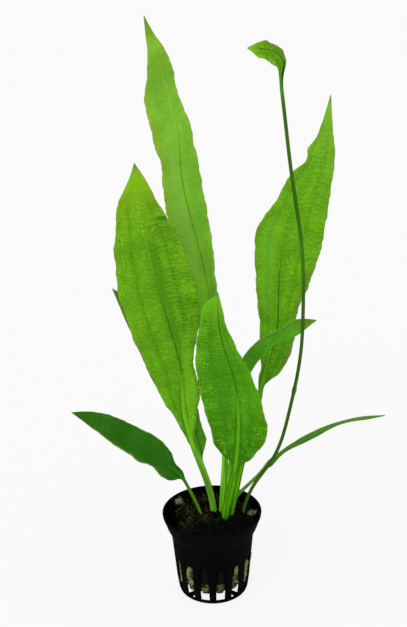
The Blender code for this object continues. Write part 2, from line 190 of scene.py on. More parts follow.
# %% Smooth line and ripple
def smooth_line(at, values, where):
    """Natural cubic spline: between two given places the curve is a cubic, and its slope
    and bend carry on unbroken from one piece to the next."""
    at = np.asarray(at, float)
    values = np.asarray(values, float).reshape(len(at), -1)
    gap = np.diff(at)
    system, right = np.eye(len(at)), np.zeros_like(values)
    slope = np.diff(values, axis=0) / gap[:, None]
    for i in range(1, len(at) - 1):
        system[i, i - 1 : i + 2] = gap[i - 1], 2 * (gap[i - 1] + gap[i]), gap[i]
        right[i] = 6 * (slope[i] - slope[i - 1])
    bend = np.linalg.solve(system, right)
    where = np.atleast_1d(where)
    k = np.clip(np.searchsorted(at, where) - 1, 0, len(gap) - 1)
    a = ((at[k + 1] - where) / gap[k])[:, None]
    b, g = 1 - a, gap[k][:, None]
    curved = (a**3 - a) * bend[k] + (b**3 - b) * bend[k + 1]
    return a * values[k] + b * values[k + 1] + curved * g**2 / 6


def ease(x, low, high):
    """0 below low, 1 above high, and an S-shaped rise between them."""
    t = np.clip((x - low) / (high - low), 0, 1)
    return t * t * (3 - 2 * t)


def ripple(points, size, seed, waves=7):
    """Sum of sine waves in seeded directions, each with a length near size, scaled to +-1."""
    rng = np.random.default_rng(seed)
    total = np.zeros(points.shape[:-1])
    for _ in range(waves):
        way = rng.normal(size=3)
        way *= 2 * np.pi / (size * rng.uniform(0.7, 1.5) * np.linalg.norm(way))
        total += np.sin(points @ way + rng.uniform(0, 2 * np.pi))
    return total / waves**0.5


print("helpers ready")

# %% [markdown]
# ## Leaves
# An amazon sword leaf is a round stem that flattens into a thin blade.  The blade could
# be cut from a flat outline and bent, but then its width could not follow the curve
# of the leaf.  Here the leaf is worked out from its middle line instead: the line is
# drawn through a few points, and at each place the two half widths, the turn of the blade
# and its shallow V-fold give the section.  All lengths in the tables are millimetres.
# Each table gives the stem's radius, the fold, the turn of the blade in degrees at shares
# of its length, the height and the beat of the margin's wave, the route of the middle
# line, and the blade as rows of (share of the length, left and right half width).

# %% Leaf tables
LEAVES = {
    "leaf_tall_back": dict(
        sheath=0.30, ragged=1.5, stem=1.4, fold=0.12,
        turn=[(0, 0), (0.35, -8), (1, -18)], wave=0.6, beat=22,
        route=[(5, 3.6, 31), (5.5, 3.3, 46), (7.8, 9, 74), (7.5, 13, 105), (5, 16, 127),
               (1, 22, 172), (-4.5, 26, 198), (-9, 28, 217), (-12, 30, 235), (-13, 32, 256),
               (-16, 34, 272), (-20, 35, 288), (-25, 36, 303), (-28, 37, 314)],
        blade=[(0.22, 1.4, 1.4), (0.28, 2.2, 2.8), (0.34, 3.6, 4.4), (0.40, 6.6, 4.3),
               (0.46, 10.2, 4.2), (0.52, 12.3, 5.3), (0.58, 12.4, 7.8), (0.64, 11.7, 9.4),
               (0.69, 10.9, 10.1), (0.73, 10.0, 9.7), (0.77, 13.0, 8.0), (0.81, 13.9, 6.6),
               (0.85, 14.0, 4.6), (0.89, 10.4, 5.0), (0.93, 5.2, 5.0), (0.96, 2.6, 2.8)]),
    "leaf_broad_left": dict(
        stem=1.95, fold=0.15, turn=[(0, 0), (0.3, 10), (1, 16)], wave=0.8, beat=20,
        route=[(1.5, 4.2, 31), (1.1, 4.6, 46), (-4.5, 2, 74), (-10.8, 0, 96), (-14, -2, 119),
               (-14, -3, 131), (-18, -5, 156), (-25, -7, 187), (-28, -7, 204),
               (-32, -6, 226), (-33, -5, 237), (-34, -3, 249)],
        blade=[(0.26, 1.5, 1.5), (0.30, 1.9, 2.7), (0.34, 4.0, 5.6), (0.38, 7.4, 7.7),
               (0.42, 12.5, 9.6), (0.46, 15.0, 8.5), (0.50, 16.8, 7.6), (0.54, 18.8, 10.0),
               (0.58, 19.8, 14.0), (0.62, 20.2, 17.8), (0.67, 20.8, 20.3), (0.72, 20.4, 20.5),
               (0.77, 18.9, 19.4), (0.82, 17.0, 18.2), (0.86, 14.2, 15.6), (0.90, 11.6, 11.0),
               (0.94, 7.0, 7.6), (0.97, 3.1, 4.2)]),
    "leaf_front": dict(
        sheath=0.35, stem=1.6, fold=0.22,
        turn=[(0, 0), (0.3, 8), (0.6, 16), (1, 20)], wave=0.5, beat=18,
        route=[(7.2, 0.2, 31), (7.6, 0.2, 46), (12.3, -5, 74), (14.8, -12, 100), (15, -18, 120),
               (14, -22, 134), (9, -29, 156), (6, -34, 171), (5, -39, 184), (5, -44, 196)],
        blade=[(0.27, 1.5, 1.5), (0.30, 3.0, 4.3), (0.33, 6.6, 7.0), (0.36, 10.3, 9.6),
               (0.40, 12.8, 12.7), (0.45, 14.6, 15.4), (0.50, 16.2, 15.6), (0.55, 17.8, 14.1),
               (0.60, 18.4, 12.4), (0.66, 18.1, 10.8), (0.72, 16.7, 9.3), (0.78, 14.3, 7.5),
               (0.83, 11.6, 5.9), (0.88, 9.1, 4.0), (0.925, 7.9, 3.0), (0.955, 5.6, 2.1),
               (0.98, 2.1, 1.2)]),
    "leaf_behind_left": dict(
        stem=1.2, fold=0.10, turn=[(0, 0), (0.3, -15), (1, -25)], wave=0.5, beat=18,
        route=[(0.8, 8.4, 31), (1, 8.9, 46), (-4, 11, 68), (-10, 16, 91), (-24, 25, 121),
               (-42, 37, 152), (-52, 43, 166)],
        blade=[(0.26, 1.2, 1.2), (0.31, 1.8, 2.5), (0.35, 3.3, 5.6), (0.40, 5.0, 6.0),
               (0.46, 6.0, 7.2), (0.54, 7.1, 7.9), (0.62, 7.7, 8.1), (0.70, 7.1, 7.9),
               (0.78, 5.7, 7.1), (0.86, 4.5, 5.8), (0.92, 2.8, 4.4), (0.96, 1.4, 2.8)]),
    "leaf_right_back": dict(
        sheath=0.25, ragged=1.2, stem=1.4, fold=0.10,
        turn=[(0, 0), (0.35, 12), (1, 20)], wave=0.8, beat=22,
        route=[(10.9, 2.4, 31), (10.8, 2.8, 46), (14, 6.2, 59), (16.4, 9, 69), (26, 17, 102),
               (31, 22, 121), (38, 28, 146), (39, 31, 162), (40, 34, 178), (44, 38, 200),
               (50, 41, 217), (58, 43, 234), (65.3, 45, 257), (67.2, 45, 270)],
        blade=[(0.30, 1.3, 1.3), (0.33, 1.5, 1.2), (0.355, 2.4, 1.4), (0.368, 3.0, 3.4),
               (0.38, 3.0, 5.8), (0.394, 3.4, 7.7), (0.41, 5.0, 9.1), (0.43, 6.6, 10.1),
               (0.46, 8.5, 10.5), (0.50, 10.1, 10.3), (0.53, 11.0, 11.2), (0.56, 12.0, 14.4),
               (0.60, 13.0, 17.5), (0.65, 14.8, 20.1), (0.69, 15.6, 20.7), (0.72, 12.7, 20.0),
               (0.76, 9.4, 18.8), (0.80, 8.7, 16.2), (0.82, 7.4, 14.6), (0.835, 5.6, 13.6),
               (0.848, 4.1, 12.7), (0.859, 4.1, 11.7), (0.874, 5.2, 10.4), (0.885, 4.9, 9.4),
               (0.90, 3.5, 7.7), (0.93, 2.3, 4.6), (0.96, 1.5, 2.4)]),
    "leaf_arching_right": dict(
        sheath=0.30, ragged=0.6, stem=1.1, fold=0.30,
        turn=[(0, 0), (0.6, -8), (1, -8)], wave=0.3, beat=14,
        route=[(7.8, 5.4, 31), (8, 6, 46), (9.8, 7, 66), (13, 6, 92), (18, 4, 126), (24, 2, 142),
               (29, 1, 148), (36, 1, 153), (43, 1, 157), (57, 2, 161)],
        blade=[(0.52, 1.1, 1.1), (0.60, 1.9, 1.5), (0.65, 3.9, 2.4), (0.70, 5.0, 3.4),
               (0.75, 4.9, 4.0), (0.80, 4.8, 3.6), (0.85, 3.7, 3.6), (0.89, 3.2, 4.7),
               (0.925, 4.5, 4.6), (0.955, 3.7, 3.2), (0.98, 1.9, 1.5)]),
    "leaf_low_left": dict(
        stem=1.0, fold=0.12, turn=[(0, 0), (0.35, -30), (1, -35)], wave=0.4, beat=16,
        route=[(-1.5, 1, 31), (-6.6, 3.6, 46), (-12.4, -1, 64), (-17, -4.8, 75), (-31, -10, 90),
               (-42, -12, 99), (-53, -14, 108), (-63, -15, 115), (-72, -16, 120)],
        blade=[(0.34, 1.0, 1.0), (0.375, 1.6, 2.2), (0.40, 3.9, 2.5), (0.43, 6.2, 2.6),
               (0.47, 7.3, 3.7), (0.50, 7.0, 6.0), (0.54, 5.6, 8.1), (0.58, 5.5, 9.3),
               (0.62, 6.6, 9.5), (0.68, 5.8, 9.2), (0.75, 5.7, 8.4), (0.80, 5.0, 8.0),
               (0.85, 4.1, 6.8), (0.90, 3.2, 5.2), (0.95, 1.7, 2.9)]),
    "leaf_low_right": dict(
        stem=1.05, fold=0.06, turn=[(0, 0), (0.3, 80), (1, 84)], wave=0.25, beat=14,
        route=[(11, 8.4, 31), (12, 12.6, 46), (18.6, 13, 55), (26.8, 14, 63), (33.6, 16, 70),
               (45, 18, 78), (60, 21, 85), (79, 23, 91), (98, 22, 94)],
        blade=[(0.33, 0.9, 0.9), (0.365, 2.2, 3.0), (0.40, 2.3, 4.6), (0.45, 1.6, 3.0),
               (0.50, 1.8, 2.0), (0.56, 2.3, 3.1), (0.64, 2.5, 4.0), (0.70, 2.4, 3.0),
               (0.76, 2.0, 1.6), (0.83, 1.6, 1.4), (0.89, 1.6, 2.2), (0.935, 1.1, 1.9),
               (0.97, 0.6, 1.0)]),
    "leaf_long_stalk": dict(
        knots=[(0.335, 0.35), (0.47, 0.2)], stem=0.94, taper=0.04, fold=0.30,
        turn=[(0, 0), (0.9, -10), (1, -35)], wave=1.5, beat=7,
        route=[(14, 0.6, 31), (17.7, 3.6, 46), (22, 2.8, 60), (34, 0, 81), (42.3, -2, 109),
               (48.3, -6, 148), (49, -8, 170), (48, -10, 204), (42.6, -9, 244), (38.6, -7, 279),
               (38, -6, 291), (38, -8, 298), (35, -10, 302), (30, -12, 304), (21.5, -12, 305)],
        blade=[(0.88, 0.7, 0.7), (0.90, 1.4, 1.0), (0.92, 3.6, 1.8), (0.94, 5.4, 2.6),
               (0.96, 5.8, 3.4), (0.98, 4.6, 3.6), (0.992, 1.9, 1.6)]),
}
LEAF_END = (1.0, 0.15, 0.15)  # every blade closes to this at its tip
TAPER = 0.35  # the share of a stem's thickness that is lost by the tip
COLUMNS, STEM_STEP, BLADE_STEP = 40, 1.6, 0.85
RIB_WIDE, RIB_HIGH, SHEET = 0.9, 0.5, 0.30
NICK_BEATS, NICK_DEPTH = (13.0, 7.3, 4.1), 0.026
CIRCLE = 6.28  # a full turn, in radians
print("leaf tables:", len(LEAVES), "leaves")


# %% Leaf frame
def leaf_frame(leaf, s):
    """Middle line at shares s of the route, the way across the blade and the way it faces.

    Across is the line's direction crossed with the viewer's side, turned about the line.
    """
    route = np.array(leaf["route"], float)
    walked = np.r_[0, np.cumsum(np.linalg.norm(np.diff(route, axis=0), axis=1))]
    length = walked[-1]
    walked = walked / length
    middle = smooth_line(walked, route, s)
    ahead = smooth_line(walked, route, np.clip(s + 1e-3, 0, 1))
    along = ahead - smooth_line(walked, route, np.clip(s - 1e-3, 0, 1))
    along /= np.linalg.norm(along, axis=1)[:, None]
    side = np.cross(along, [0.0, -1.0, 0.0])
    side /= np.linalg.norm(side, axis=1)[:, None]
    face = np.cross(side, along)
    places, degrees = zip(*leaf["turn"])
    turn = np.radians(np.interp(s, places, degrees))[:, None]
    across = side * np.cos(turn) + face * np.sin(turn)
    return length, middle, across, face * np.cos(turn) - side * np.sin(turn)


# %% Leaf surface
def make_leaf(name, leaf, seed):
    """Closed leaf: the upper side runs from one margin to the other and the under side back.

    Place across = c times the half width.  Height = fold times the distance from the
    middle line, plus a margin wave that grows with c squared, plus or minus half the
    thickness, which is a half circle on the stem and a thin sheet with a rib on the blade.
    """
    start = leaf["blade"][0][0]
    length = leaf_frame(leaf, np.array([0.0]))[0]
    stem_rows = int(start * length / STEM_STEP) + 8
    blade_rows = int((1 - start) * length / BLADE_STEP) + 40
    on_stem = np.linspace(0, start, stem_rows, endpoint=False)
    s = np.r_[on_stem, np.linspace(start, 0.998, blade_rows)]
    length, middle, across, face = leaf_frame(leaf, s)
    at, left, right = zip(*leaf["blade"], LEAF_END)
    widths = np.maximum(smooth_line(at, np.c_[left, right], np.clip(s, start, 1.0)), 0.12)
    t = np.linspace(-1, 1, COLUMNS + 1)
    c = np.r_[t, t[-2:0:-1]]
    c = 0.75 * c + 0.25 * c**3
    two_sides = (c[None] > 0, c[None] <= 0)
    top = np.r_[np.ones(COLUMNS + 1), -np.ones(COLUMNS - 1)]
    flat = ease(s, start, start + 0.07)[:, None]
    share = np.clip((s - start) / (1 - start), 0, 1)[:, None]
    stem = (leaf["stem"] * (1 - leaf.get("taper", TAPER) * s))[:, None]
    for knot, size in leaf.get("knots", []):
        stem = stem + size * np.exp(-(((s - knot) * length / STEM_STEP) ** 2))[:, None]
    half = np.where(two_sides[0], widths[:, 1:2], widths[:, 0:1])
    along = (s[:, None] - start) * length
    rng = np.random.default_rng(seed)
    nicks = 0
    for beat in NICK_BEATS:
        for one_side in two_sides:
            phase = along * CIRCLE / (beat * rng.uniform(0.85, 1.2)) + rng.uniform(0, CIRCLE)
            nicks = nicks + one_side * beat**0.6 * np.sin(phase)
    nicks = nicks * np.minimum(half / 6, 1) * ease(1 - share, 0.0, 0.12)
    half = half + NICK_DEPTH * leaf.get("ragged", 1.0) * nicks
    half = (1 - flat) * stem * (1 + leaf.get("sheath", 0.0)) + flat * half
    reach = c[None] * half
    wave = 0
    for one_side in two_sides:
        for strength, shorter in ((1.0, 1.0), (0.5, 0.61)):
            beat, start_at = leaf["beat"] * shorter * rng.uniform(0.85, 1.2), rng.uniform(0, CIRCLE)
            wave = wave + one_side * strength * np.sin(along * CIRCLE / beat + start_at)
    wave = wave * leaf["wave"] * c[None] ** 2 * np.minimum(half / 9, 1)
    wave = wave * ease(share, 0.02, 0.2) * ease(1 - share, 0.0, 0.15)
    rib = RIB_HIGH * (1 - 0.85 * share) * np.exp(-((reach / RIB_WIDE) ** 2))
    sheet = SHEET * (1 - 0.3 * share) * (1 - np.abs(c[None]) ** 5) ** 0.5 + rib
    round_half = stem * np.sqrt(np.clip(1 - c[None] ** 2, 0, 1))
    thick = (1 - flat) * round_half + flat * sheet
    thick = np.where(np.abs(c[None]) > 0.9999, 0, thick)
    lift = flat * (leaf["fold"] * (np.sqrt(reach**2 + 0.5) - 0.7) + wave) + top[None] * thick
    points = middle[:, None] + across[:, None] * reach[..., None] + face[:, None] * lift[..., None]
    tip = np.array(leaf["route"][-1], float)
    obj = mesh_from_grid(name + "_skin", points * MM, caps=(middle[0] * MM, tip * MM))
    put_values(obj, "across", np.broadcast_to(c[None], reach.shape))
    put_values(obj, "reach", reach)
    put_values(obj, "along", np.broadcast_to(along, reach.shape))
    put_values(obj, "share", np.broadcast_to(share, reach.shape))
    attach(obj, "root")
    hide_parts(name)
    return obj


leaf_skins = {}
for number, (leaf_name, leaf_table) in enumerate(LEAVES.items()):
    leaf_skins[leaf_name] = make_leaf(leaf_name, leaf_table, 40 + number)
    print(leaf_name, len(leaf_skins[leaf_name].data.vertices), "points")

# %% [markdown]
# ## Net pot
# The real pot is one thin moulding: a flared rim, a tapered wall and a floor, with tall
# slots in the wall and radial slots in the floor.  It could be cut with fourteen tools,
# but a grid is cleaner: the profile gives the rows, the turn gives the columns, and the
# cells that lie in a slot are simply left out.  Solidify then gives the wall its
# thickness and a small bevel rounds the slot edges as moulding does.

# %% Pot surface
SLOTS, SLOT_TURN, PER_SLOT, OPEN = 14, math.radians(11), 16, 9
SLOT_LOW, SLOT_HIGH, FLOOR_OUT, WALL_MM, EDGE_MM = 2.3, 24.0, 17.1, 1.15, 0.28
POT_PROFILE = [
    (8.0, 0.0), (12.4, 0.0), (17.1, 0.0), (18.2, 0.12), (19.0, 0.8), (19.5, 2.3), (20.45, 9.0),
    (21.1, 16.5), (21.75, 24.0), (22.35, 31.0), (22.75, 34.6), (23.05, 36.6), (23.75, 38.3),
    (24.75, 40.2), (25.45, 42.0), (26.0, 43.9), (26.8, 45.9), (27.35, 47.6), (27.5, 49.0)]


def profile_line(points, step):
    """Rows about step apart on the straight pieces of the profile, each corner kept."""
    rows = [points[0]]
    for a, b in zip(points[:-1], points[1:]):
        count = max(1, round(math.dist(a, b) / step))
        rows += [tuple(np.array(a) + (np.array(b) - a) * k / count) for k in range(1, count + 1)]
    return np.array(rows)


rows = profile_line(POT_PROFILE, 0.9)
turns = SLOT_TURN + (np.arange(SLOTS * PER_SLOT) - OPEN / 2) * 2 * np.pi / (SLOTS * PER_SLOT)
ring = np.stack([np.sin(turns), -np.cos(turns)], 1)
heights = np.broadcast_to(rows[:, None, 1:], (len(rows), len(turns), 1))
pot_points = np.concatenate([rows[:, None, :1] * ring[None], heights], 2)
mid = (rows[:-1] + rows[1:]) / 2
in_wall = (mid[:, 1] > SLOT_LOW) & (mid[:, 1] < SLOT_HIGH)
in_floor = (mid[:, 1] < 0.05) & (mid[:, 0] < FLOOR_OUT)
column = np.arange(len(turns))
in_slot = column % PER_SLOT < OPEN
in_floor_slot = column % (2 * PER_SLOT) < PER_SLOT + OPEN
keep = ~((in_wall[:, None] & in_slot[None]) | (in_floor[:, None] & in_floor_slot[None]))
pot = mesh_from_grid("net_pot_skin", pot_points * MM, keep=keep, caps=((0, 0, 0), None))
wall = pot.modifiers.new("wall", "SOLIDIFY")
wall.thickness, wall.offset, wall.use_even_offset = WALL_MM * MM, -1.0, True
rounding = pot.modifiers.new("moulded edges", "BEVEL")
rounding.width, rounding.segments, rounding.limit_method = EDGE_MM * MM, 2, "ANGLE"
rounding.angle_limit, rounding.harden_normals = math.radians(50), False
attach(pot, "root")
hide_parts("net_pot")
print("pot:", SLOTS, "wall slots and", SLOTS // 2, "floor openings,", (~keep).sum(), "cells")

# %% [markdown]
# ## Mineral wool plug
# The plug is spun mineral wool, grown over with dark moss on top and showing olive fibres
# where the slots leave it bare.  A particle system would be the quick way, but its hairs
# do not reach the exported model.  So the body is one lumpy surface and each fibre is a
# thin three-sided tube of its own, all of them worked out together as one array.


# %% Plug body
BOTTOM_ROWS, SIDE_ROWS, TOP_ROWS, WOOL_COLUMNS = 14, 78, 60, 260
FOOT, SHOULDER, TOP_RADIUS = 7.4, 41.5, 22.6
SIDE_HEIGHTS = [FOOT, 8.6, 15, 23, 31, 36, SHOULDER]
SIDE_RADII = [15.6, 16.9, 18.0, 18.9, 19.6, 20.0, 22.2]


def wool_height(x, y):
    """Top of the plug: rises to the back, with a mound round the stems and soft lumps."""
    mound = 1.3 * np.exp(-(((x - 6) / 10) ** 2) - ((y - 3) / 7) ** 2)
    lumps = 0.7 * np.sin(0.45 * x + 1.3) * np.cos(0.38 * y - 0.4)
    lumps = lumps + 0.4 * np.sin(0.9 * x - 0.7 * y + 2)
    return 44.3 + 0.06 * y + mound + lumps


def wool_surface():
    """Rows of rings: radius for the underside, radius over height for the side, and radius
    again for the top, pushed in and out by ripples of three sizes.

    The side bulges into the pot's slots, by a wave with one beat for each slot, and the
    top stands away from the pot's wall on the left.
    """
    side_z = np.linspace(FOOT, SHOULDER, SIDE_ROWS)
    side_r = np.interp(side_z, SIDE_HEIGHTS, SIDE_RADII)
    top_r = np.linspace(TOP_RADIUS, 0.5, TOP_ROWS)
    bottom_r = np.linspace(0.6, 15.0, BOTTOM_ROWS)
    turn = np.linspace(0, 2 * np.pi, WOOL_COLUMNS, endpoint=False)
    below, above = np.zeros(BOTTOM_ROWS), np.zeros(TOP_ROWS)
    radius = np.concatenate([bottom_r, side_r, top_r])[:, None]
    gap = 0.35 * np.sin(5 * turn + 1) - 3.2 * np.exp(-(((turn - 3.3) / 0.45) ** 2))
    high = np.concatenate([below, ease(side_z, 36, SHOULDER), top_r / TOP_RADIUS])[:, None]
    radius = radius + gap[None] * high
    bar = np.cos(SLOTS * (turn + math.pi / 2 - SLOT_TURN))
    open_rows = [ease(bottom_r, 10, 15) * 0.8, 1 - ease(side_z, 20, 23.3), above]
    open_rows = np.concatenate(open_rows)[:, None]
    radius = radius + (2.2 + 0.5 * np.sin(3 * turn + 2)) * open_rows * ease(bar, -0.12, 0.25)[None]
    shift = 0.6 * np.concatenate([below + 0.2, side_z / 40, above + 1])[:, None]
    x, y = radius * np.cos(turn) + shift, radius * np.sin(turn)
    z = np.concatenate([below + FOOT, side_z, above])[:, None] + 0 * x
    z = z - 1.3 * open_rows * ease(14.0 - z, 0.0, 6.6)
    top = slice(-TOP_ROWS, None)
    z[top] = wool_height(x[top], y[top]) - 2.4 * ease(top_r, 19.2, TOP_RADIUS)[:, None] ** 2
    p = np.stack([x, y, z], -1)
    out = np.stack([np.cos(turn) + 0 * x, np.sin(turn) + 0 * x, 0 * x], -1)
    rough = 0.42 * ripple(p, 6.0, 1) + 0.30 * ripple(p, 2.6, 2) + 0.16 * ripple(p, 1.2, 3)
    p[:-TOP_ROWS] += out[:-TOP_ROWS] * (rough[:-TOP_ROWS, :, None] - 0.3) * 0.9
    p[top, :, 2] += 2.1 * rough[top] + 0.1
    return p


def ring_middles(points):
    """The middles of the first and the last ring, in metres, to close them with."""
    return points[0].mean(0) * MM, points[-1].mean(0) * MM


wool_points = wool_surface()
SLOT_ROWS = (16, 49)  # the rows of the side that are level with the slots
TOP_FROM, LAST = len(wool_points) - TOP_ROWS, len(wool_points) - 3
wool = mesh_from_grid("rockwool_plug_skin", wool_points * MM, caps=ring_middles(wool_points))
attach(wool, "root")
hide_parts("rockwool_plug")
print("plug body:", len(wool.data.vertices), "points")


# %% Fibres
def make_fibres(name, roots, ways, lengths, wide, seed, sag=0.5):
    """Each fibre is a bent line with a three-sided section that thins to its end.

    Point k of a fibre = root + way times k plus a random bend times k squared.
    """
    rng = np.random.default_rng(seed)
    count, steps = len(roots), 5
    k = np.linspace(0, 1, steps)[None, :, None]
    bend = rng.normal(scale=sag, size=(count, 1, 3)) * lengths[:, None, None]
    line = roots[:, None] + ways[:, None] * lengths[:, None, None] * k + bend * k**2
    one = np.cross(ways, rng.normal(size=(count, 3)))
    one /= np.linalg.norm(one, axis=1)[:, None]
    two = np.cross(ways, one)
    turn = np.array([0, 2.094, 4.189])[None, None, :, None]
    circle = one[:, None, None] * np.cos(turn) + two[:, None, None] * np.sin(turn)
    thick = (wide * rng.uniform(0.6, 1.3, count))[:, None, None, None] * (1 - 0.75 * k[..., None])
    points = (line[:, :, None] + circle * thick).reshape(count * steps * 3, 3)
    base = (np.arange(count) * steps * 3)[:, None, None]
    row = (np.arange(steps - 1) * 3)[None, :, None]
    col, nxt = np.arange(3)[None, None], np.array([1, 2, 0])[None, None]
    start = base + row
    quads = np.stack([start + col, start + nxt, start + 3 + nxt, start + 3 + col], -1)
    root_end = base[:, 0] + np.array([[0, 2, 1]])
    free_end = base[:, 0] + (steps - 1) * 3 + np.array([[0, 1, 2]])
    faces = quads.reshape(-1, 4).tolist() + root_end.tolist() + free_end.tolist()
    obj = add_mesh(name, points * MM, faces)
    put_values(obj, "strand", np.repeat(rng.uniform(0, 1, count), steps * 3))
    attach(obj, "root")
    print(name, count, "fibres")
    return obj


def scattered(rows_from, rows_to, count, seed, seated=0.25):
    """Roots at random points of the plug, evenly over its area, and their outward ways.

    A row's chance goes with the length round it, so the middle isn't crowded.
    """
    rng = np.random.default_rng(seed)
    middle = np.array([0.6, 0])
    round_it = np.linalg.norm(wool_points[rows_from:rows_to, 0, :2] - middle, axis=1)
    i = rng.choice(np.arange(rows_from, rows_to), count, p=round_it / round_it.sum())
    j = rng.integers(0, wool_points.shape[1], count)
    p = wool_points[i, j]
    across = wool_points[i, (j + 1) % wool_points.shape[1]] - wool_points[i, j - 1]
    up = wool_points[i + 1, j] - wool_points[i - 1, j]
    out = np.cross(across, up)
    out /= np.linalg.norm(out, axis=1)[:, None] + 1e-9
    return p - out * seated, out, rng


def splayed(out, rng, lift, spread):
    """Directions that lean out by lift and are scattered by spread."""
    way = out * lift + rng.normal(scale=spread, size=out.shape)
    return way / np.linalg.norm(way, axis=1)[:, None]


def cover(name, rows, count, seed, lift, spread, long, wide, sag=0.5, off=0.0):
    """count fibres between two rows of the plug, off it by off, of lengths long[0] to long[1]."""
    root, out, rng = scattered(*rows, count, seed)
    ways = splayed(out, rng, lift, spread)
    lengths = rng.uniform(*long, count)
    return make_fibres(name, root + out * off, ways, lengths, wide, seed + 1, sag)


side_fibres = cover("side_fibres", SLOT_ROWS, 3000, 11, 0.2, 0.55, (0.5, 1.4), 0.06)
top_fibres = cover("moss_fibres", (TOP_FROM, LAST), 5200, 13, 0.7, 0.6, (0.7, 2.6), 0.08)
bits = cover("dry_bits", (TOP_FROM, LAST), 700, 15, 0.25, 0.7, (1.0, 4.2), 0.19, 0.25, 0.3)

# %% [markdown]
# ## Pale tufts
# Two tufts of clean wool have worked loose and lie on the plug.  Each is a small lumpy
# core with fine fibres and a few coarse clumps standing off it, made the same way as on
# the plug, so they catch the light like the rest of the wool but stay pale.

# %% Tufts
TUFTS = {"wool_tuft_left": ((-18.4, 14.8, 46.6), (2.1, 1.5, 0.8)),
         "wool_tuft_right": ((22.2, 3.0, 45.0), (2.1, 1.4, 0.8))}
TUFT_ROWS, TUFT_COLUMNS = 26, 48
TUFT_HAIRS = (("fibres", 260, 1.5, 0.09, 0.5), ("spikes", 26, 2.7, 0.24, 0.2))
tuft_pieces = []
for number, (tuft_name, (tuft_at, tuft_half)) in enumerate(TUFTS.items()):
    polar = np.linspace(0.12, np.pi - 0.12, TUFT_ROWS)[:, None]
    turn = np.linspace(0, 2 * np.pi, TUFT_COLUMNS, endpoint=False)[None]
    up = -np.cos(polar) + 0 * turn
    ball = np.stack([np.sin(polar) * np.cos(turn), np.sin(polar) * np.sin(turn), up], -1)
    size = 0.50 + 0.20 * ripple(ball, 1.3, 60 + number)
    size = size + 0.14 * np.abs(ripple(ball, 0.5, 70 + number))
    shell = ball * size[..., None] * np.array(tuft_half) + np.array(tuft_at)
    core = mesh_from_grid(tuft_name + "_core", shell * MM, caps=ring_middles(shell))
    put_values(core, "strand", 0.5 + 0.35 * ripple(ball, 0.4, 75 + number))
    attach(core, "root")
    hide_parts(tuft_name)
    tuft_pieces.append(core)
    rng = np.random.default_rng(80 + number)
    for label, count, long, wide, sag in TUFT_HAIRS:
        pick = rng.integers(0, TUFT_ROWS * TUFT_COLUMNS, count)
        ways = splayed(ball.reshape(-1, 3)[pick], rng, 0.8, 0.45)
        lengths = rng.uniform(0.35, 1.0, count) * long
        roots = shell.reshape(-1, 3)[pick]
        hair_name, seed = tuft_name + "_" + label, 90 + number
        hair = make_fibres(hair_name, roots, ways, lengths, wide, seed, sag)
        tuft_pieces.append(hair)

# %% [markdown]
# ## Material helpers
# The finishes are built from shader nodes.  A small class keeps the wiring readable: each
# method adds one node or a few and returns the output.  What several finishes share, such
# as the vein pattern and the dry moss, is a node group with named inputs and outputs.


# %% Node helper
class Wiring:
    """Adds nodes to a material or a group and joins them."""

    def __init__(self, tree):
        self.tree = tree

    def node(self, kind, **inputs):
        made = self.tree.nodes.new(kind)
        for key, value in inputs.items():
            self.feed(made.inputs[key.replace("_", " ")], value)
        return made

    def feed(self, socket, value):
        if isinstance(value, bpy.types.NodeSocket):
            self.tree.links.new(value, socket)
        else:
            socket.default_value = value

    def math(self, operation, *values):
        made = self.tree.nodes.new("ShaderNodeMath")
        made.operation = operation
        for socket, value in zip(made.inputs, values):
            self.feed(socket, value)
        return made.outputs[0]

    def chain(self, operation, *values):
        """The same two-number operation again and again, from the left."""
        return reduce(lambda first, other: self.math(operation, first, other), values)

    plus = partialmethod(chain, "ADD")
    less = partialmethod(chain, "SUBTRACT")
    times = partialmethod(chain, "MULTIPLY")
    over = partialmethod(chain, "DIVIDE")
    most = partialmethod(chain, "MAXIMUM")
    size = partialmethod(math, "ABSOLUTE")

    def ramp(self, value, low, high, to_low=0.0, to_high=1.0):
        """Smooth step of value from low..high to to_low..to_high."""
        made = self.tree.nodes.new("ShaderNodeMapRange")
        made.interpolation_type = "SMOOTHSTEP"
        for socket, number in zip(made.inputs, (value, low, high, to_low, to_high)):
            self.feed(socket, number)
        return made.outputs[0]

    def line(self, value, place, wide):
        """1 where value is at place, falling to 0 at wide on both sides."""
        return self.ramp(self.over(self.size(self.less(value, place)), wide), 1.0, 0.25)

    def mix(self, amount, first, second):
        """From the first colour at amount 0 to the second at 1."""
        made = self.tree.nodes.new("ShaderNodeMix")
        made.data_type = "RGBA"
        self.feed(made.inputs[0], amount)
        for number, colour in ((6, first), (7, second)):
            if not isinstance(colour, bpy.types.NodeSocket):
                colour = (*colour, 1)
            self.feed(made.inputs[number], colour)
        return made.outputs[2]

    def layers(self, colour, *pairs):
        """Each (amount, tint) laid over the colour, in the order given."""
        for amount, tint in pairs:
            colour = self.mix(amount, colour, tint)
        return colour

    def value(self, name):
        made = self.tree.nodes.new("ShaderNodeAttribute")
        made.attribute_name = name
        return made.outputs["Fac"]

    def noise(self, where, scale, detail=3.0, rough=0.55):
        made = self.node("ShaderNodeTexNoise", Vector=where, Scale=scale)
        made.inputs["Detail"].default_value = detail
        made.inputs["Roughness"].default_value = rough
        return made.outputs["Fac"]

    def jitter(self, where, scale, size, detail=3.0, rough=0.55):
        """Noise about zero, as far as half of size to each side."""
        return self.times(self.less(self.noise(where, scale, detail, rough), 0.5), size)

    def xyz(self, x, y, z=0.0):
        made = self.tree.nodes.new("ShaderNodeCombineXYZ")
        for socket, value in zip(made.inputs, (x, y, z)):
            self.feed(socket, value)
        return made.outputs[0]

    def place(self):
        return self.tree.nodes.new("ShaderNodeTexCoord").outputs["Object"]

    def place_xyz(self):
        return self.node("ShaderNodeSeparateXYZ", Vector=self.place()).outputs


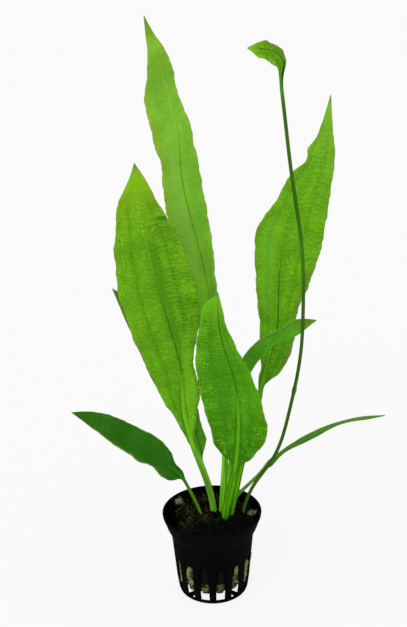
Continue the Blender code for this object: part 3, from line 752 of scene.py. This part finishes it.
def new_group(name, takes, gives):
    """A node group with number inputs (name: default) and mask or value outputs."""
    group = bpy.data.node_groups.new(name, "ShaderNodeTree")
    number = "NodeSocketFloat"
    for label, default in takes.items():
        socket = group.interface.new_socket(label, in_out="INPUT", socket_type=number)
        socket.default_value = default
    for label in gives:
        group.interface.new_socket(label, in_out="OUTPUT", socket_type=number)
    inside = group.nodes.new("NodeGroupInput").outputs
    return group, Wiring(group), inside, group.nodes.new("NodeGroupOutput").inputs


def use_group(wiring, group, **values):
    """Place a group in a material with its own values and return its outputs."""
    made = wiring.tree.nodes.new("ShaderNodeGroup")
    made.node_tree = group
    for key, value in values.items():
        wiring.feed(made.inputs[key.replace("_", " ")], value)
    return made.outputs


def new_material(name):
    """A material with its Principled shader and a Wiring for its tree."""
    material = bpy.data.materials.new(name)
    material.use_nodes = True
    return material, Wiring(material.node_tree), material.node_tree.nodes["Principled BSDF"]


def finish_with(obj, material):
    """Give the object this one material."""
    obj.data.materials.clear()
    obj.data.materials.append(material)


print("node helpers ready")

# %% [markdown]
# ## Leaf veins
# A sword leaf has one strong middle rib and, on each side, a main long vein that follows the
# margin.  Between them many fine cross veins climb outward like the rungs of a ladder, and a net of
# finer veins divides the rest into small puffed cells.  Their light and shade are painted into the
# colour: painted highlights on the puffed cells and painted shade in the sunken veins.  A painted
# texture could show this, but a formula follows each leaf's own curve: it reads how far along and
# how far across each point lies, in millimetres.

# %% Vein group
veins, w, take, give = new_group(
    "leaf veins",
    {"Across": 0, "Reach": 0, "Along": 0, "Share": 0, "Gap": 3.0, "Slant": 0.45, "Main": 0.5,
     "Lean": 1, "Seed": 0},
    ["Rungs", "Long", "Soft", "Net", "Cell highlight", "Blade", "Height"])
side, edge = w.size(take["Reach"]), w.size(take["Across"])
where = w.xyz(take["Reach"], take["Along"], take["Seed"])
broad = w.less(w.noise(where, 0.11, 2.0), 0.5)
small = w.less(w.noise(where, 0.38, 3.0, 0.6), 0.5)
climb = w.less(take["Along"], w.times(side, take["Slant"]))
climb = w.plus(climb, w.times(side, side, 0.012))
climb = w.plus(climb, w.plus(w.times(broad, 9.0), w.times(small, 3.0)))
blade = w.times(w.ramp(take["Along"], 2.0, 14.0), w.ramp(take["Share"], 0.97, 0.80))
beat = w.math("FRACT", w.over(climb, take["Gap"]))
patchy = w.ramp(w.noise(where, 0.22, 3.0, 0.6), 0.34, 0.54)
lean = w.ramp(w.times(take["Across"], take["Lean"]), -0.5, 0.3, 0.3, 1.0)
rungs = w.times(w.line(beat, 0.5, 0.21), patchy, lean)
spot = w.plus(w.over(take["Reach"], 1.9), w.times(small, 1.2))
spot = w.xyz(spot, w.over(climb, 1.25), take["Seed"])
borders, cells = (w.node("ShaderNodeTexVoronoi", Vector=spot, Scale=1.0, Randomness=0.85)
                  for _ in range(2))
borders.feature = "DISTANCE_TO_EDGE"
borders.voronoi_dimensions = cells.voronoi_dimensions = "2D"
apart = w.node("ShaderNodeSeparateColor", Color=cells.outputs["Color"])
net = w.ramp(borders.outputs["Distance"], 0.16, 0.02)
puff = w.ramp(borders.outputs["Distance"], 0.0, 0.32)
half = w.over(side, w.most(edge, 0.02))
main = w.plus(take["Main"], w.times(broad, 0.12))
off_main = w.times(w.size(w.less(edge, main)), half)
off_outer = w.times(w.size(w.less(edge, w.plus(w.times(main, 0.4), 0.62))), half)
beads = w.ramp(w.noise(where, 0.42, 3.0, 0.7), 0.38, 0.60, 0.08, 1.0)
long_line = w.times(w.ramp(off_main, 1.15, 0.15), beads)
long_line = w.most(long_line, w.times(w.ramp(off_outer, 0.45, 0.1), beads, 0.5))
w.feed(give["Rungs"], w.times(rungs, blade))
w.feed(give["Long"], w.times(long_line, blade))
w.feed(give["Soft"], w.times(w.ramp(off_main, 3.0, 0.0), blade))
w.feed(give["Net"], w.times(net, blade))
# the light centres of the puffed cells, used for painted highlights
w.feed(give["Cell highlight"], w.times(puff, w.ramp(apart.outputs[0], 0.25, 0.85), blade))
w.feed(give["Blade"], blade)
sunk = w.plus(w.times(rungs, 0.5), w.times(long_line, 0.8))
raised = w.less(w.plus(w.times(puff, 0.7), 0.6), sunk)
w.feed(give["Height"], w.times(raised, blade))
print("vein group:", len(veins.nodes), "nodes")

# %% [markdown]
# ## Leaf finish
# Each leaf has its own greens, from the foot of the blade through its middle to the tip, and its
# own strength of veins.  Over the greens go soft blotches, the net and rungs, the long veins, and
# the middle rib, which is a pale ridge near the stem and further up a dark line of painted shade in
# its groove, with a painted glint beside it.  Marks add tints, painted shade in folds and creases,
# and painted light as a sheen, a highlight, and over a neighbour's cast shadow.  A thin pale margin
# with brown specks and a dull tip finish it.  The older low leaves are darker and glossier, the low
# leaf on the left is darker still with painted shade, and the tall leaf at the back is pale and
# smooth, with a painted sheen on its left half.

# %% Leaf colours
LEAF_LOOKS = {
    "leaf_tall_back": dict(
        foot=(0.085, 0.37, 0.003), mid=(0.168, 0.41, 0.018), tip=(0.145, 0.3, 0.012),
        stem=(0.1, 0.34, 0.006), tip_from=0.80, veins=0.10, net=0.12, main=0.06, gap=5.0,
        ridge=0.10, ridge_light=0.3, groove=0.55, groove_to=0.72, glint=0.2, glint_from=0.5,
        band=0.0, gloss=0.18,
        # the first mark is painted light over the shadow that the broad leaf casts here, and the
        # third is a painted sheen on the left half
        marks=[(45, 62, -0.5, 0.7, (0.17, 0.52, 0.006), 0.75),
               (52, 42, 0.42, 0.34, (0.055, 0.23, 0.003), 0.65),
               (125, 50, -0.4, 0.42, (0.205, 0.46, 0.045), 0.5),
               (150, 45, -0.95, 0.3, (0.23, 0.4, 0.012), 0.6),
               (118, 70, 0.55, 0.4, (0.13, 0.37, 0.01), 0.5)]),
    "leaf_broad_left": dict(
        foot=(0.085, 0.32, 0.002), mid=(0.118, 0.33, 0.002), tip=(0.172, 0.335, 0.003),
        stem=(0.1, 0.29, 0.012), tip_from=0.70, veins=0.62, net=0.50, main=0.35, gap=2.4,
        ridge=0.24, ridge_light=0.65, groove=0.75, groove_to=0.56, glint=0.5, glint_from=0.6,
        band=0.75, band_from=0.34, band_at=2.0, band_wide=5.5,
        # the first mark is the painted shadow of a small crease near the margin
        marks=[(136, 1.8, 0.8, 0.3, (0.03, 0.13, 0.002), 0.8),
               (128, 9, 0.75, 0.3, (0.075, 0.26, 0.002), 0.4),
               (36, 46, 0.5, 0.42, (0.15, 0.44, 0.009), 0.7)]),
    "leaf_front": dict(
        foot=(0.031, 0.15, 0.001), mid=(0.08, 0.32, 0.001), tip=(0.145, 0.42, 0.006),
        stem=(0.06, 0.27, 0.002), tip_from=0.50, veins=0.62, net=0.60, main=0.25, gap=2.0,
        lean=-1.0, ridge=0.38, ridge_light=0.6, groove=0.8, groove_to=0.92, glint=0.2,
        glint_from=0.4, band=0.3, main_at=0.46,
        # the first mark is a painted highlight on the base of the stem
        marks=[(-47, 12, 0.1, 0.8, (0.17, 0.42, 0.008), 0.8),
               (70, 45, -0.4, 0.35, (0.045, 0.21, 0.001), 0.4)]),
    "leaf_behind_left": dict(
        foot=(0.11, 0.4, 0.003), mid=(0.055, 0.22, 0.003), tip=(0.045, 0.13, 0.012),
        stem=(0.07, 0.26, 0.002), veins=0.3, net=0.3, main=0.2, gap=3.0, ridge=0.3, groove=0.3,
        band=0.2, gloss=0.15),
    "leaf_right_back": dict(
        foot=(0.06, 0.265, 0.001), mid=(0.116, 0.335, 0.002), tip=(0.17, 0.385, 0.018),
        stem=(0.075, 0.28, 0.002), tip_from=0.62, veins=0.32, net=0.45, main=0.25, gap=3.0,
        ridge=0.12, ridge_light=0.3, groove=0.9, groove_to=0.46, glint=0.25, glint_from=0.62,
        band=0.3,
        marks=[(55, 40, 0.86, 0.16, (0.13, 0.15, 0.03), 0.45),
               (78, 36, -0.55, 0.4, (0.135, 0.39, 0.02), 0.45)]),
    "leaf_arching_right": dict(
        foot=(0.12, 0.33, 0.003), mid=(0.075, 0.33, 0.003), tip=(0.11, 0.27, 0.006),
        stem=(0.1, 0.34, 0.003), tip_from=0.7, veins=0.2, net=0.2, main=0.15, gap=3.0, ridge=0.3,
        groove=0.1, gloss=0.15,
        marks=[(42, 26, -0.8, 0.3, (0.11, 0.22, 0.06), 0.5),
               (4, 16, 0.4, 0.8, (0.22, 0.38, 0.008), 0.75)]),
    "leaf_low_left": dict(
        # these dark greens are partly an older leaf's colour and partly painted shade, as this low
        # leaf lies in shade
        foot=(0.02, 0.13, 0.002), mid=(0.02, 0.132, 0.001), tip=(0.023, 0.12, 0.001),
        stem=(0.08, 0.2, 0.006), veins=0.15, net=0.20, main=0.12, gap=3.2, ridge=0.15, groove=0.1,
        band=0.15, rough=0.36, gloss=0.13, main_at=0.4,
        marks=[(42, 30, -0.93, 0.1, (0.17, 0.17, 0.07), 0.7),
               (75, 14, -0.9, 0.15, (0.13, 0.12, 0.04), 0.5)]),
    "leaf_low_right": dict(
        foot=(0.095, 0.27, 0.025), mid=(0.07, 0.235, 0.008), tip=(0.11, 0.24, 0.04),
        stem=(0.12, 0.27, 0.012), veins=0.2, net=0.2, main=0.15, gap=3.0, groove=0.2, rough=0.38,
        gloss=0.15,
        marks=[(35, 60, -0.9, 0.45, (0.22, 0.32, 0.12), 0.65),
               (35, 60, 0.9, 0.35, (0.025, 0.11, 0.004), 0.6)]),
    "leaf_long_stalk": dict(
        foot=(0.04, 0.16, 0.002), mid=(0.165, 0.4, 0.004), tip=(0.18, 0.44, 0.006),
        stem=(0.032, 0.105, 0.003), veins=0.5, net=0.7, main=0.4, gap=1.8, ridge=0.0, groove=0.8,
        glint=0.2, glint_from=0.2, band=0.5,
        # the first mark is painted shade in the crumpled fold beside the stalk
        marks=[(9.5, 7, 0.3, 0.55, (0.008, 0.055, 0.001), 0.95),
               (20, 9, 0.85, 0.25, (0.16, 0.15, 0.05), 0.5),
               (26, 6, -0.3, 0.4, (0.06, 0.2, 0.002), 0.6)]),
}
PLAIN_LOOK = dict(
    tip_from=0.55, lean=1.0, ridge=0.2, ridge_light=0.7, groove_to=0.9, glint=0.0, glint_from=0.3,
    band=0.1, band_from=0.1, band_at=0.6, band_wide=3.4, rough=0.42, gloss=0.10, main_at=0.5,
    marks=[])
MARGIN, SPECK, DRY = (0.30, 0.54, 0.03), (0.16, 0.12, 0.03), (0.14, 0.19, 0.05)


def shade(colour, amount):
    """The same hue, darker below 1 and lighter above."""
    return tuple(min(c * amount, 1.0) for c in colour)


def deep(colour, amount):
    """A darker, purer green: red falls fastest, as where a leaf is thick, and for the painted shade
    in its groove and sunken veins.
    """
    return (colour[0] * amount**1.35, colour[1] * amount**0.8, colour[2] * amount)


# %% Leaf material
def relief(w, shader, strength, deep_m, height):
    """A bump of that strength and depth in metres, from a height that varies."""
    bump = w.node("ShaderNodeBump", Strength=strength, Distance=deep_m, Height=height)
    w.feed(shader.inputs["Normal"], bump.outputs[0])


def leaf_material(name, look, seed):
    """Greens along the leaf, blotches, veins, rib, margin and tip, then gloss and bump.

    Each mark is an uneven oval: (place along, half length, place across, half width, colour,
    strength), lengths in millimetres and across as a share of the half width.  Some marks are the
    leaf's own tints; others are painted shade and painted light.
    """
    look = {**PLAIN_LOOK, **look}
    material, w, shader = new_material(name + "_green")
    across, reach, along, share = (w.value(k) for k in ("across", "reach", "along", "share"))
    seed = float(seed)
    out = use_group(w, veins, Across=across, Reach=reach, Along=along, Share=share, Seed=seed,
                    Gap=look["gap"], Main=look["main_at"], Lean=look["lean"])
    where = w.xyz(reach, along, seed)
    mid = look["mid"]
    colour = w.mix(w.ramp(share, 0.05, 0.50), look["foot"], mid)
    soft, speckled = w.noise(where, 0.075, 3.0), w.noise(where, 0.75, 4.0, 0.7)
    net, main = look["net"], look["main"]
    colour = w.layers(
        colour,
        (w.ramp(share, look["tip_from"], 0.95), look["tip"]),
        (w.ramp(soft, 0.45, 0.72, 0.0, 0.5), shade(mid, 1.4)),
        (w.ramp(soft, 0.50, 0.28, 0.0, 0.5), deep(mid, 0.72)),
        (w.ramp(speckled, 0.42, 0.62, 0.0, 0.35 * net + 0.05), shade(mid, 0.6)),
        # painted highlights on the puffed cells, then painted shade in the net, rungs, halo and
        # long veins where they sink
        (w.times(out["Cell highlight"], 0.8 * net), shade(mid, 1.6)),
        (w.times(out["Net"], 0.6 * net), deep(mid, 0.5)),
        (w.times(out["Rungs"], look["veins"]), deep(mid, 0.32)),
        (w.times(out["Soft"], 0.7 * main), deep(mid, 0.55)),
        (w.times(out["Long"], main), deep(mid, 0.33)))
    wander = w.plus(reach, w.jitter(where, 0.16, 5.0, 2.0))
    band = w.times(w.line(wander, look["band_at"], look["band_wide"]),
                   w.ramp(share, look["band_from"] - 0.1, look["band_from"] + 0.12),
                   w.ramp(share, 0.86, 0.68))
    up_leaf = w.ramp(share, look["ridge"] - 0.06, look["ridge"] + 0.10)
    dashes = w.ramp(w.noise(w.xyz(0.0, along, seed), 0.8, 2.0), 0.25, 0.5, 0.35, 1.0)
    # painted shade: a dashed dark line along the middle rib, for the shade in its sunken groove
    groove = w.times(w.line(reach, 0.15, 0.60), up_leaf, dashes,
                     w.ramp(share, look["groove_to"] + 0.08, look["groove_to"] - 0.08))
    glint = w.times(w.line(reach, -0.60, 0.42), w.ramp(share, 0.92, 0.84),
                    w.ramp(share, look["glint_from"], look["glint_from"] + 0.12))
    down_leaf = w.times(w.less(1.0, up_leaf), w.ramp(along, -4.0, 6.0))
    off_rib = w.over(w.size(reach), w.ramp(share, 0.0, 0.5, 1.5, 0.8))
    flank = w.times(w.line(off_rib, 1.15, 0.6), down_leaf)
    ridge = w.times(w.ramp(off_rib, 0.85, 0.35), down_leaf)
    streak = w.noise(w.xyz(w.times(across, 2.4), w.times(along, 0.03), seed), 1.0, 2.0)
    stem = shade(look["stem"], 0.7), shade(look["stem"], 1.5)
    colour = w.layers(
        colour,
        (w.times(band, 0.8 * look["band"]), deep(mid, 0.52)),
        (w.times(groove, look["groove"]), deep(mid, 0.28)),
        (w.times(glint, look["glint"]), shade(mid, 1.5)),
        (w.times(flank, 0.6), deep(mid, 0.42)),
        (w.times(ridge, look["ridge_light"]), shade(mid, 1.5)),
        (w.ramp(along, 5.0, -8.0), w.mix(w.ramp(streak, 0.38, 0.62), *stem)))
    # marks lay the leaf's own tints, and also painted shade and painted light, as listed with each
    # leaf
    for place, long, at, wide, stain_and_painted_light, strong in look["marks"]:
        away = w.plus(*(w.math("POWER", w.size(w.over(w.less(value, centre), half)), 2.0)
                        for value, centre, half in ((along, place, long), (across, at, wide))))
        away = w.plus(away, w.jitter(where, 0.2, 1.6, 3.0, 0.65))
        colour = w.mix(w.ramp(away, 1.0, 0.2, 0.0, strong), colour, stain_and_painted_light)
    rim = w.times(w.ramp(w.size(across), 0.94, 0.985), out["Blade"])
    specks = w.ramp(w.noise(where, 0.5, 3.0, 0.7), 0.50, 0.58)
    colour = w.layers(colour, (w.times(rim, 0.6), MARGIN), (w.times(rim, specks, 0.22), SPECK),
                      (w.ramp(share, 0.965, 0.995, 0.0, 0.8), DRY))
    w.feed(shader.inputs["Base Color"], colour)
    rough = w.ramp(soft, 0.3, 0.7, look["rough"] - 0.06, look["rough"] + 0.12)
    w.feed(shader.inputs["Roughness"], rough)
    shader.inputs["Specular IOR Level"].default_value = look["gloss"]
    relief(w, shader, 0.35 + 0.5 * net, 0.0004, out["Height"])
    return material


for number, (leaf_name, look) in enumerate(LEAF_LOOKS.items()):
    finish_with(leaf_skins[leaf_name], leaf_material(leaf_name, look, 3 + 7 * number))
print("leaf finishes:", len(LEAF_LOOKS))

# %% [markdown]
# ## Pot, wool and crown finishes
# The pot is satin black plastic with a fine grain and a little dust.
# The wool is dark and mossy on top, olive where it is bare, and nearly black high in the slots at
# the front, which is painted shade.  Its fibres share the masks for that painted shade and for the
# dry olive moss, so both change together; the olive moss thins toward the front, which is painted
# shade as well.  The crown is hidden by the wool and only needs a plain tissue colour with some
# grain.

# %% Speckle group
speckle, w, take, give = new_group("speckle", {"Size": 1.0, "Amount": 0.5}, ["Mask"])
where = w.place()
coarse = w.noise(where, w.over(0.4, take["Size"]), 3.0)
fine = w.noise(where, w.over(2.5, take["Size"]), 4.0, 0.7)
both = w.plus(w.times(coarse, 0.45), w.times(fine, 0.55))
low = w.less(0.72, w.times(take["Amount"], 0.3))
w.feed(give["Mask"], w.ramp(both, low, w.plus(low, 0.06)))

# %% Black plastic
plastic, w, shader = new_material("black_plastic")
dust = use_group(w, speckle, Size=0.0011, Amount=0.34)["Mask"]
black, dusty = (0.0012, 0.0016, 0.0019), (0.035, 0.040, 0.036)
w.feed(shader.inputs["Base Color"], w.mix(w.times(dust, 0.35), black, dusty))
w.feed(shader.inputs["Roughness"], w.ramp(w.noise(w.place(), 900.0), 0.3, 0.7, 0.36, 0.55))
shader.inputs["Specular IOR Level"].default_value = 0.07
relief(w, shader, 0.3, 0.0001, w.noise(w.place(), 2200.0, 2.0))
finish_with(pot, plastic)
print("black plastic done")

# %% Painted slot shade group
# Painted shade: the wool in the slots at the front is made nearly black high up, and darker in the
# middle.
slot_shade, w, take, give = new_group("painted slot shade", {"Amount": 1.0}, ["Mask"])
x, y, z = w.place_xyz()
aside = w.size(w.less(x, 0.001))
line = w.plus(z, w.jitter(w.place(), 210.0, 0.016, 3.0, 0.6))
line = w.less(line, w.times(w.ramp(aside, 0.009, 0.012), 0.016))
dark = w.most(w.ramp(line, 0.0095, 0.0125), w.ramp(aside, 0.012, 0.009, 0.0, 0.55))
w.feed(give["Mask"], w.times(dark, w.ramp(y, -0.008, -0.013), take["Amount"]))

# %% Dry moss and front shade group
# Where the moss is dry and olive: small crumbs in wide patches, to the back and left.  That they
# thin toward the front is painted shade on the front of the plug's top.
dry_moss_and_front_shade, w, take, give = new_group("dry moss and front shade", {"Amount": 1.0}, ["Mask"])
x, y, _ = w.place_xyz()
wide = w.ramp(w.noise(w.place(), 130.0, 2.0), 0.40, 0.52)
crumbs = w.ramp(w.noise(w.place(), 480.0, 3.0, 0.7), 0.48, 0.55)
# painted shade: fewer olive crumbs toward the front and right
backward = w.ramp(w.less(y, w.times(x, 0.45)), -0.012, 0.008, 0.10, 1.0)
w.feed(give["Mask"], w.times(wide, crumbs, backward, take["Amount"]))
print("groups shared by the wool and its fibres:", slot_shade.name, "and", dry_moss_and_front_shade.name)

# %% Mossy wool
mossy, w, shader = new_material("mossy_wool")
on_top = w.ramp(w.plus(w.place_xyz()[2], w.jitter(w.place(), 220.0, 0.02)), 0.022, 0.029)
tangle = w.ramp(w.noise(w.place(), 380.0, 4.0, 0.7), 0.42, 0.56)
bare = w.mix(tangle, (0.016, 0.019, 0.004), (0.22, 0.25, 0.085))
# painted shade: the wool high in the slots at the front is made nearly black
bare = w.mix(use_group(w, slot_shade)["Mask"], bare, (0.003, 0.004, 0.001))
flecks = w.ramp(w.noise(w.place(), 420.0, 4.0), 0.40, 0.62)
# the olive crumbs, thinned toward the front as painted shade
dry = w.times(use_group(w, dry_moss_and_front_shade)["Mask"], flecks)
moss = w.mix(dry, (0.0008, 0.0011, 0.0003), (0.060, 0.064, 0.016))
w.feed(shader.inputs["Base Color"], w.mix(on_top, bare, moss))
shader.inputs["Roughness"].default_value = 0.95
shader.inputs["Specular IOR Level"].default_value = 0.1
relief(w, shader, 0.8, 0.0005, w.noise(w.place(), 1300.0, 4.0, 0.7))
finish_with(wool, mossy)
print("mossy wool done")


# %% Fibre materials
def fibre_material(name, dark, light, patched=False, in_slot_shade=False):
    """Each fibre takes its own shade between two colours from its strand number."""
    material, w, shader = new_material(name)
    blotch = w.ramp(w.noise(w.place(), 300.0, 2.0), 0.38, 0.64)
    amount = w.times(w.plus(w.value("strand"), blotch), 0.5)
    # the dry moss patches, thinned toward the front as painted shade
    if patched:
        amount = w.times(amount, use_group(w, dry_moss_and_front_shade)["Mask"])
    # the same painted shade darkens the fibres high in the slots at the front
    if in_slot_shade:
        amount = w.times(amount, w.less(1.0, use_group(w, slot_shade, Amount=0.97)["Mask"]))
    w.feed(shader.inputs["Base Color"], w.mix(amount, dark, light))
    shader.inputs["Roughness"].default_value = 0.8
    shader.inputs["Specular IOR Level"].default_value = 0.2
    return material


olive = fibre_material("olive_fibres", (0.010, 0.012, 0.003), (0.36, 0.40, 0.155), in_slot_shade=True)
moss_green = (0.0012, 0.0016, 0.0005), (0.15, 0.19, 0.05)
dry_brown = (0.003, 0.003, 0.001), (0.17, 0.19, 0.06)
finish_with(side_fibres, olive)
finish_with(top_fibres, fibre_material("moss_green_fibres", *moss_green, patched=True))
finish_with(bits, fibre_material("dry_plant_bits", *dry_brown, patched=True))
pale_wool = fibre_material("pale_fibres", (0.05, 0.055, 0.02), (0.55, 0.57, 0.29))
for piece in tuft_pieces:
    finish_with(piece, pale_wool)

# %% Crown tissue
tissue, w, shader = new_material("crown_tissue")
grains = w.ramp(w.noise(w.place(), 500.0), 0.35, 0.65)
w.feed(shader.inputs["Base Color"], w.mix(grains, (0.12, 0.10, 0.03), (0.26, 0.22, 0.09)))
shader.inputs["Roughness"].default_value = 0.75
finish_with(frame["nodes"]["crown"], tissue)
print("all finishes set")
